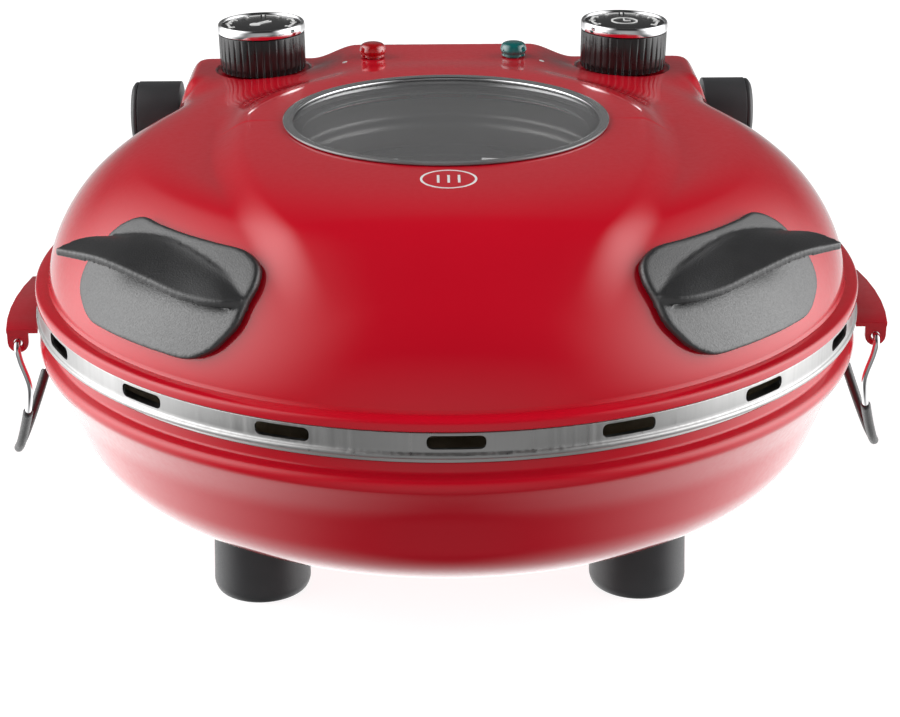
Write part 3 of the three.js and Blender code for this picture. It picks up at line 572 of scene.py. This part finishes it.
def make_window():
    seal = rounded([(64.9, 61.6, 0.2), (65.6, 61.6, 0.2), (65.6, 66.0, 0.3), (68.6, 66.0, 0.4),
                    (68.5, 67.1, 0.9), (64.9, 67.1, 1.2)], 0.4, 5)
    points, faces = turned(seal, 180)
    piece("window_gasket_moulded", points, faces, SEAL, "lid", ["window_gasket"])
    pane = rounded([(0, 61.7, 0), (64.5, 61.7, 0.4), (64.5, 65.5, 0.6), (0, 65.5, 0)], 0.4, 4, closed=False)
    points, faces = turned(pane, 180)
    piece("window_glass_smoked", points, faces, PANE, "lid", ["window_glass"])
    ring = rounded([(60.5, 60.1), (68.2, 60.1), (68.6, 61.9), (73, 61.9), (73, 62.6), (67.4, 62.6),
                    (67, 61.2), (60.5, 61.2)], 0.4, 3)
    parts = [turned(ring, 180)]
    screw = rounded([(0, 60.6, 0), (1.3, 60.6, 0), (1.3, 61.4, 0.3), (0, 61.5, 0)], 0.3, 3, closed=False)
    for turn in np.radians(SCREW_TURNS):
        spot = Matrix.Translation((SCREW_REACH * math.cos(turn), SCREW_REACH * math.sin(turn), 0))
        parts.append(moved(turned(screw, 20), spot))
    tab = rounded([(-10, -62), (10, -62), (10, -54, 3), (-10, -54, 3)], 0.5, 4)
    parts.append(prism(tab, 60.5, 61.45))
    points, faces = merged(*parts)
    piece("window_retainer_pressed", points, faces, INNER, "lid", ["window_retainer"])
    trim = rounded([(64.2, 65.6), (65.3, 65.6), (65.3, 67.0, 0.5), (64.2, 66.6, 0.4)], 0.2, 4)
    points, faces = turned(trim, 180)
    piece("window_trim_bright", points, faces, CHROME, "lid")


def make_caution_mark():
    """A plain ring with three bars, printed on the lid in front of the window."""
    parts = [band(10.1, 11.0, 0, 0.1, 0, 359.99, 90)]
    for middle in (-4, 0, 4):
        left, right = middle - 0.5, middle + 0.5
        parts.append(prism([(left, -4.5), (right, -4.5), (right, 4.5), (left, 4.5)], 0, 0.1))
    points, faces = merged(*parts)
    points[:, 1] += CAUTION_Y
    points[:, 2] += lid_height(points[:, 0], points[:, 1]) + PRINT_LIFT
    piece("caution_mark_printed", points, faces, MARK, "lid")


def make_lamps():
    outline = rounded([(0, -3, 0), (4, -3, 0), (4, 0.5, 0), (5.7, 0.5, 0.5), (5.5, 1.7, 0.8),
                       (6.3, 3.1, 1.5), (5.4, 6.2, 2.4), (2.6, 7.0, 2), (0, 7.0, 0)],
                      0.8, 6, closed=False)
    for name, sign, material, slot in (("power_lamp", -1, RED_LENS, "red_lens"),
                                       ("heat_lamp", 1, GREEN_LENS, "green_lens")):
        place_at = Matrix.Translation((sign * LAMP_X, LAMP_Y, PAD_TOP))
        points, faces = moved(turned(outline, 72), place_at)
        piece(f"{name}_lens", points, faces, material, "lid", [name])
        dot = rounded([(0, 0, 0), (1.2, 0, 0), (1.2, 0.14, 0.1), (0, 0.14, 0)], 0.1, 3, closed=False)
        points, faces = moved(turned(dot, 24), Matrix.Translation((sign * DOT_X, DOT_Y, 0)))
        points[:, 2] += lid_height(points[:, 0], points[:, 1]) + PRINT_LIFT
        piece(f"{name}_mark", points, faces, MARK, "lid")


# ---------- handles ----------
HANDLE_AZIMUTH, HANDLE_HALF = math.radians(-45.3), math.radians(17.5)
HANDLE_MIDDLE, HANDLE_THICK, HANDLE_SPAN = 32, 4.5, 50
HANDLE_OUTLINE = [(-0.04, 49), (-0.45, 49), (-0.8, 48.4), (-0.97, 45), (-1, 41), (-0.97, 35),
                  (-0.94, 28.5), (-0.86, 23), (-0.77, 18.5), (-0.6, 14.2), (-0.3, 13.6), (0, 13.6),
                  (0.3, 13.6), (0.55, 14.3), (0.74, 19), (0.85, 24), (0.88, 31), (0.83, 38), (0.77, 44),
                  (0.6, 48.6), (0.3, 49)]
FIN_ROOT = [(0.72, 39.2), (0.36, 43.3), (0, 44.7), (-0.54, 41.7), (-0.97, 35.2)]
FIN_EDGE = [(149.5, -101, 43), (131, -113.5, 43.5), (112.5, -126, 40), (98, -135.5, 37),
            (84, -141.5, 36.3), (77, -141.5, 36.8)]


def handle_point(side, height, lift):
    """A point on the dome's front right corner, lifted off its surface."""
    azimuth = HANDLE_AZIMUTH + side * HANDLE_HALF
    share = (height - DOME_FOOT) / DOME_RISE
    radius = DOME_RADIUS * (1 - share ** RISE_POWER) ** (1 / PLAN_POWER)
    slope = 0.22 if height - DOME_FOOT < 20 else 0.22 + (height - 24.7) * 0.035
    normal = np.array([math.cos(azimuth), math.sin(azimuth), slope])
    point = np.array([radius * math.cos(azimuth), radius * math.sin(azimuth), height])
    return point + normal / np.linalg.norm(normal) * lift


def handle_plate():
    """A plate that follows the dome, wide at the top and cut away at its inner lower corner."""
    shares = [(s, 0.8) for s in np.linspace(0.06, 1, 14)] + [(1.0, 2.2), (0.99, 3.6), (0.972, 4.25)]
    shares += [(s, HANDLE_THICK - 0.9 * (1 - s ** 4)) for s in np.linspace(0.945, 0.06, 16)]
    ring = [(HANDLE_SPAN * side, height, 0) for side, height in HANDLE_OUTLINE]
    outline = smooth_path([ring[-1], *ring, ring[0], ring[1]], 7)[7:-8]
    points = []
    for share, lift in shares:
        for side, height, _ in outline:
            height = HANDLE_MIDDLE + (height - HANDLE_MIDDLE) * share
            points.append(handle_point(side / HANDLE_SPAN * share, height, lift))
    faces = grid_faces(len(shares), len(outline), False)
    faces += [tuple(range(len(outline))), tuple(range(len(points) - len(outline), len(points)))]
    return np.array(points), faces


def handle_fin():
    """A blade that grows out of the plate, thick at its root and rounded at its edge."""
    spots = np.linspace(0, 1, 49)
    root = resampled(smooth_path([handle_point(s, h, 2.0) for s, h in FIN_ROOT], 16), spots)
    edge = resampled(smooth_path(FIN_EDGE, 16), spots)
    outs = np.linspace(0, 1, 20)
    points = []
    for along, a, b in zip(spots, root, edge):
        upper, lower = [], []
        for out in outs:
            centre = a + (b - a) * out
            centre = centre + np.array([0, 0, 2.5 * math.sin(math.pi * out) * (1 - along)])
            thick = 3.4 * (1.25 - 0.35 * out) + 2.2 * (1 - out) ** 6
            upper.append(centre + np.array([0, 0, thick / 2]))
            lower.append(centre - np.array([0, 0, thick / 2]))
        points += upper + lower[::-1]
    size = 2 * len(outs)
    faces = grid_faces(len(spots), size, False)
    faces += [tuple(range(size)), tuple(range(len(points) - size, len(points)))]
    return np.array(points), faces


def make_handles():
    for side, sign in SIDES:
        name = f"handle_{side}_moulded"
        points, faces = mirrored(handle_plate(), sign)
        made = piece(name, points, faces, GRIP, "lid", [f"handle_{side}"])
        points, faces = mirrored(handle_fin(), sign)
        fin = piece("fin", points, faces, GRIP, "lid")
        union = made.modifiers.new("union", "BOOLEAN")
        union.operation = "UNION"
        union.solver = "EXACT"
        union.object = fin
        remesh = made.modifiers.new("blend", "REMESH")
        remesh.mode = "VOXEL"
        remesh.voxel_size = 0.62 * MM
        soften = made.modifiers.new("soften", "SMOOTH")
        soften.factor = 0.5
        soften.iterations = 7
        graph = bpy.context.evaluated_depsgraph_get()
        result = bpy.data.meshes.new_from_object(made.evaluated_get(graph))
        made.modifiers.clear()
        made.data = result
        bpy.data.objects.remove(fin)
        shade(result, 80)
        if not result.materials:
            result.materials.append(GRIP)


# ---------- controls ----------
FLUTES = 36
MARK_LOW, MARK_HIGH = 21.3, 21.62


def flute(azimuths, radius, height):
    """Broad ribs between narrow grooves, fading out at the knob's foot and shoulder."""
    if radius < KNOB_RADIUS - 1.3 or not 0.4 < height < 16.9:
        return 0 * azimuths
    phase = azimuths * FLUTES / (2 * math.pi) % 1 - 0.5
    return -0.7 * np.exp(-(phase / 0.12) ** 2) + 0.1


def band(inner, outer, low, high, start, stop, steps=12):
    """A raised arc on a dial, in degrees."""
    points = []
    for a in np.radians(np.linspace(start, stop, steps)):
        for r, z in ((inner, low), (outer, low), (outer, high), (inner, high)):
            points.append((r * math.cos(a), r * math.sin(a), z))
    faces = grid_faces(steps, 4, False) + [(0, 1, 2, 3), tuple(range(len(points) - 4, len(points)))]
    return np.array(points), faces


def dial_marks(kind):
    """Ticks, scale arcs and a plain picture of a thermometer or a clock."""
    low, high = MARK_LOW, MARK_HIGH
    parts = []
    for i in range(9):
        centre = -30 + i * 30
        parts.append(band(13.6, 16.6, low, high, centre - 2.0, centre + 2.0, 3))
        if i < 8 and i % 3 != 2:
            parts.append(band(14.8, 15.9, low, high, centre + 5, centre + 25))
    if kind == "temperature":
        bulb = np.array([-2.6, -2.6, 0])
        tip = np.array([3.8, 3.8, 0])
        points, faces = band(0.05, 2.6, low, high, 0, 359, 24)
        parts.append((points + bulb, faces))
        for shift in (-0.95, 0.95):
            across = np.array([-1, 1, 0]) / math.sqrt(2) * shift
            line = [bulb + across + (tip - bulb) * t for t in (0.25, 0.5, 0.75, 1.0)]
            parts.append(swept(np.array(line) + [0, 0, high - 0.2], 0.36, 8))
        return parts
    parts.append(band(5.4, 6.3, low, high, 0, 359.9, 48))
    for turn, reach in ((90, 3.9), (0, 2.8)):
        a = math.radians(turn)
        line = [(reach * t * math.cos(a), reach * t * math.sin(a), high - 0.2) for t in (0, 0.5, 1)]
        parts.append(swept(line, 0.4, 8))
    return parts


def make_controls():
    for name, sign in (("temperature", -1), ("timer", 1)):
        body = f"{name}_control"
        seat = at_knob(sign)
        skirt = rounded([(3.3, 0.0, 0), (19.5, 0.0, 0.5), (19.8, 0.5, 0), (20.0, 8, 0), (20.1, 17.2, 0),
                         (20.0, 17.5, 0.2), (DIAL_RADIUS, 17.5, 0), (DIAL_RADIUS, KNOB_DECK, 0),
                         (0, KNOB_DECK, 0)], 0.5, 3, closed=False)
        skirt = np.vstack([[(0, 12.3), (3.3, 12.3)], skirt])
        points, faces = moved(turned(skirt, FLUTES * 12, flute), seat)
        piece(f"{name}_knob_fluted", points, faces, GLOSS, body, [f"{name}_knob"], crease=50)
        ring = rounded([(18.4, 17.8, 0), (20.2, 17.8, 0.4), (20.4, 19.4, 0.6), (20.2, 21.5, 0.6),
                        (19.6, 22.2, 0.4), (19.1, 22.2, 0.4), (18.4, 21.4, 0.3)], 0.4, 5)
        points, faces = moved(turned(ring, 144), seat)
        piece(f"{name}_ring_polished", points, faces, CHROME, body, [f"{name}_knob_ring"])
        face = rounded([(0, 19.4, 0), (DIAL_RADIUS, 19.4, 0), (DIAL_RADIUS, 21.3, 0.4), (0, 21.4, 0)],
                       0.4, 3, closed=False)
        points, faces = moved(turned(face, 96), seat)
        piece(f"{name}_dial_face", points, faces, GLOSS, body, [f"{name}_dial"])
        points, faces = moved(merged(*dial_marks(name)), seat)
        piece(f"{name}_dial_marks", points, faces, MARK, body)
        refined(f"{name}_shaft", ZINC, body, 0.3)


# ---------- base ----------
BOWL_SHOULDER, BOWL_FLAT = (161, -54), (88, -88)


def bowl_curve(steps=28):
    """The bowl's turn from its side to its floor."""
    controls = np.array([BOWL_SHOULDER, (156, -70), (140, -85), BOWL_FLAT], float)
    t = np.linspace(0, 1, steps)[:, None]
    a, b, c, d = controls
    return (1 - t) ** 3 * a + 3 * (1 - t) ** 2 * t * b + 3 * (1 - t) * t ** 2 * c + t ** 3 * d


def bowl_line():
    """The bowl's outer face, from its rim to the middle of its floor."""
    rim = rounded([(170.0, -14), (170.4, -14, 0.3), (170.4, -18.2, 1.0), (174.6, -20.0, 2.2),
                   (174.9, -23.6, 3.2), (171.2, -30, 7), (166.9, -38, 14), BOWL_SHOULDER],
                  1, 6, closed=False)
    return np.vstack([rim[:-1], bowl_curve(), [(0, BOWL_FLAT[1])]])


def make_bowl():
    outer = bowl_line()
    direction = np.gradient(outer, axis=0)
    direction /= np.linalg.norm(direction, axis=1)[:, None]
    inward = np.column_stack([direction[:, 1], -direction[:, 0]])
    inner = outer + inward * SHEET
    inner[-1] = (0, BOWL_FLAT[1] + SHEET)
    keep = inner[(outer[:, 1] < -29) | (outer[:, 0] < 100)]
    lip = [(169.4, -28.5), (171.4, -25), (172.8, -23.4), (172.6, -21.6), (170.8, -20.4), (168.9, -19),
           (168.9, -15)]
    profile = np.vstack([outer[::-1], lip[::-1], keep])
    points, faces = turned(profile, 240)
    piece("base_shell_enamelled", points, faces, RED, "base", ["base_shell"], crease=40)


def bowl_height(radius):
    line = bowl_line()[::-1]
    return np.interp(radius, line[:, 0], line[:, 1])


FOOT_X, FOOT_Y, FOOT_RADIUS, TABLE = 77.9, 78.2, 20, -111


def make_feet():
    outline = rounded([(0, TABLE, 0), (FOOT_RADIUS - 1.2, TABLE, 1.2), (FOOT_RADIUS, TABLE + 3, 1.5),
                       (FOOT_RADIUS - 0.2, TABLE + 7, 2), (FOOT_RADIUS - 0.8, -86, 0),
                       (FOOT_RADIUS - 0.9, -78, 0), (0, -78, 0)], 1, 5, closed=False)
    for side, sign in SIDES:
        for end, step in (("front", -1), ("rear", 1)):
            spot = Matrix.Translation((sign * FOOT_X, step * FOOT_Y, 0))
            points, faces = moved(turned(outline, 96), spot)
            reach = np.hypot(points[:, 0], points[:, 1])
            limit = bowl_height(reach) - 0.25
            top = points[:, 2] > -87
            points[top, 2] = np.minimum(points[top, 2], limit[top])
            piece(f"foot_{end}_{side}_moulded", points, faces, FOOT, "base",
                  [f"foot_{end}_{side}"])
            refined(f"foot_screw_{end}_{side}", ZINC, "base", 0.3)


STONE_RADIUS, STONE_TOP, STONE_THICK = 157, -23, 12.8


def make_stone():
    low = STONE_TOP - STONE_THICK
    outline = rounded([(0, low, 0), (STONE_RADIUS, low), (STONE_RADIUS, STONE_TOP), (0, STONE_TOP, 0)],
                      1.5, 5, closed=False)
    points, faces = turned(outline, 180)
    piece("baking_stone_cast", points, faces, STONE, "base", ["baking_stone"])


def element_path(radius, height, tail_top):
    """A ring that opens at the back, with both ends turned out through the sheet."""
    opening = math.radians(8)
    first, last = math.pi / 2 + opening, 2.5 * math.pi - opening
    middle = height + (tail_top - height) * 0.45
    spots = [(first - 0.03, tail_top), (first - 0.03, middle)]
    spots += [(first + 0.05 + (last - first - 0.1) * i / 18, height) for i in range(19)]
    spots += [(last + 0.03, middle), (last + 0.03, tail_top)]
    return smooth_path([(radius * math.cos(a), radius * math.sin(a), z) for a, z in spots], 12)


def make_elements():
    for name, body, radius, height, tail in (("upper_element", "lid", 118, 22, 46),
                                             ("lower_element", "base", 112, -46.5, -72)):
        points, faces = swept(element_path(radius, height, tail), 3.2, 20)
        piece(f"{name}_sheath", points, faces, ELEMENT, body, [name])
        for i in (1, 2, 3):
            refined(f"{name}_clip_{i}", ZINC, body, 0.25)


# ---------- latches ----------
LATCH_X, LATCH_Z = 180.8, -21
BAIL_HALF = [(0, 28.6, 0), (0, 34.4, 0), (-0.2, 36.2, -1.9), (-0.8, 35.6, -7), (-2.9, 32, -19.5),
             (-1.5, 27.5, -29), (3.6, 15.5, -46), (8.6, 5.2, -59.5)]


def make_latches():
    front = [(x, -y, z) for x, y, z in BAIL_HALF]
    loop = front + [(10.6, 0, -63.2)] + BAIL_HALF[::-1]
    path = smooth_path([(x + LATCH_X, y, z + LATCH_Z) for x, y, z in loop], 14)
    lengths = np.concatenate([[0], np.cumsum(np.linalg.norm(np.diff(path, axis=0), axis=1))])
    share = lengths / lengths[-1]
    covered = path[(share > 0.27) & (share < 0.73)]
    along = np.linspace(0, 1, len(covered))
    swell = 2.05 + 0.1 * np.cos(along * 2 * math.pi)
    for side, sign in SIDES:
        points, faces = mirrored(swept(path, 1.4, 16), sign)
        piece(f"bail_wire_{side}_chromed", points, faces, CHROME, f"{side}_bail",
              [f"bail_wire_{side}"])
        points, faces = mirrored(swept(covered, swell, 18), sign)
        piece(f"bail_sleeve_{side}_moulded", points, faces, GRIP, f"{side}_bail",
              [f"bail_sleeve_{side}"])
        refined(f"latch_bracket_{side}", RED, "base", 0.45, 3)


# ---------- hinge and small parts ----------
HINGE_Y, HINGE_Z, POST_OUTER = 173, 20.3, 152


def make_hinges():
    cap = rounded([(0, 0.3, 0), (16.4, 0.3, 0.3), (16.4, 1.8, 0.8), (14.2, 3.4, 0.9), (12.8, 3.1, 0.5),
                   (12.2, 3.4, 0.4), (0, 4.5, 0)], 0.5, 4, closed=False)
    for side, sign in SIDES:
        stand = Matrix.Translation((POST_OUTER, HINGE_Y, HINGE_Z)) @ Matrix.Rotation(math.pi / 2, 4, "Y")
        points, faces = mirrored(moved(turned(cap, 96), stand), sign)
        piece(f"hinge_cap_{side}_moulded", points, faces, FOOT, "base",
              [f"hinge_cap_{side}"])
        refined(f"hinge_post_{side}", FOOT, "base", 0.9, 3)
        refined(f"hinge_pin_{side}", ZINC, "base", 0.3)
        refined(f"hinge_lug_{side}", FOOT, "lid", 0.8, 3)
        for index in (1, 2):
            refined(f"handle_screw_{side}_{index}", ZINC, "lid", 0.3)
    refined("thermostat", INNER, "lid", 0.5)
    refined("timer_unit", INNER, "lid", 0.5)
    refined("cord_inlet", GRIP, "base", 0.4)


# ---------- studio ----------
# Each soft light is a direction, how far it spreads in degrees, its brightness and
# how steeply it fades.
SOFT_LIGHTS = (
    ((-1.0, 0.0, 0.36), 60, 4.4, 2.0),
    ((1.0, 0.0, 0.26), 58, 4.6, 2.2),
    ((-0.55, 0.5, -0.68), 54, 1.7, 1.5),
    ((0.55, 0.5, -0.68), 54, 1.5, 1.5),
    ((0.0, 1.0, 0.1), 50, 0.12, 1.0),
    ((0.0, 0.8, -0.6), 40, 0.3, 1.0),
    ((0.0, -0.92, -0.35), 56, 0.42, 1.0),
)
AMBIENT = 0.03


def make_sky():
    """A dark studio with a few broad soft lights."""
    world = bpy.data.worlds.new("studio")
    world.use_nodes = True
    tree = world.node_tree
    background = tree.nodes["Background"]
    background.inputs["Color"].default_value = (1, 1, 1, 1)
    direction = tree.nodes.new("ShaderNodeTexCoord").outputs["Generated"]
    total = None
    for axis, spread, power, steepness in SOFT_LIGHTS:
        dot = tree.nodes.new("ShaderNodeVectorMath")
        dot.operation = "DOT_PRODUCT"
        dot.inputs[1].default_value = Vector(axis).normalized()
        tree.links.new(direction, dot.inputs[0])
        fade = tree.nodes.new("ShaderNodeMapRange")
        fade.inputs["From Min"].default_value = math.cos(math.radians(spread))
        fade.inputs["From Max"].default_value = 1.0
        tree.links.new(dot.outputs["Value"], fade.inputs["Value"])
        curve = tree.nodes.new("ShaderNodeMath")
        curve.operation = "POWER"
        curve.inputs[1].default_value = steepness
        tree.links.new(fade.outputs["Result"], curve.inputs[0])
        add = tree.nodes.new("ShaderNodeMath")
        add.operation = "MULTIPLY_ADD"
        add.inputs[1].default_value = power
        add.inputs[2].default_value = AMBIENT
        tree.links.new(curve.outputs["Value"], add.inputs[0])
        if total is not None:
            tree.links.new(total, add.inputs[2])
        total = add.outputs["Value"]
    tree.links.new(total, background.inputs["Strength"])
    bpy.context.scene.world = world


def make_studio():
    half = 6.0
    corners = [(-half, -half, 0), (half, -half, 0), (half, half, 0), (-half, half, 0)]
    mesh = bpy.data.meshes.new("floor")
    mesh.from_pydata(corners, [], [(0, 1, 2, 3)])
    mesh.materials.append(FLOOR)
    floor = bpy.data.objects.new("floor", mesh)
    bpy.context.scene.collection.objects.link(floor)
    floor.visible_glossy = False
    floor.visible_diffuse = False
    make_sky()
    bpy.context.scene.view_settings.view_transform = "Standard"


def make_camera():
    """A camera above and in front of the oven, level to within a degree."""
    data = bpy.data.cameras.new("camera")
    data.lens, data.sensor_width = 83.16, 36
    camera = bpy.data.objects.new("camera", data)
    right = Vector((0.99989675, -0.01393154, -0.00352188))
    up = Vector((0.00854146, 0.37912226, 0.92530717))
    back = right.cross(up)
    turn = Matrix((right, up, back)).transposed()
    camera.matrix_world = Matrix.Translation((-0.009273, -0.854217, 0.414911)) @ turn.to_4x4()
    bpy.context.scene.collection.objects.link(camera)
    bpy.context.scene.camera = camera


make_camera()
make_studio()
make_lid()
make_belt()
make_linings()
make_window()
make_caution_mark()
make_lamps()
make_handles()
make_controls()
make_bowl()
make_feet()
make_stone()
make_elements()
make_latches()
make_hinges()
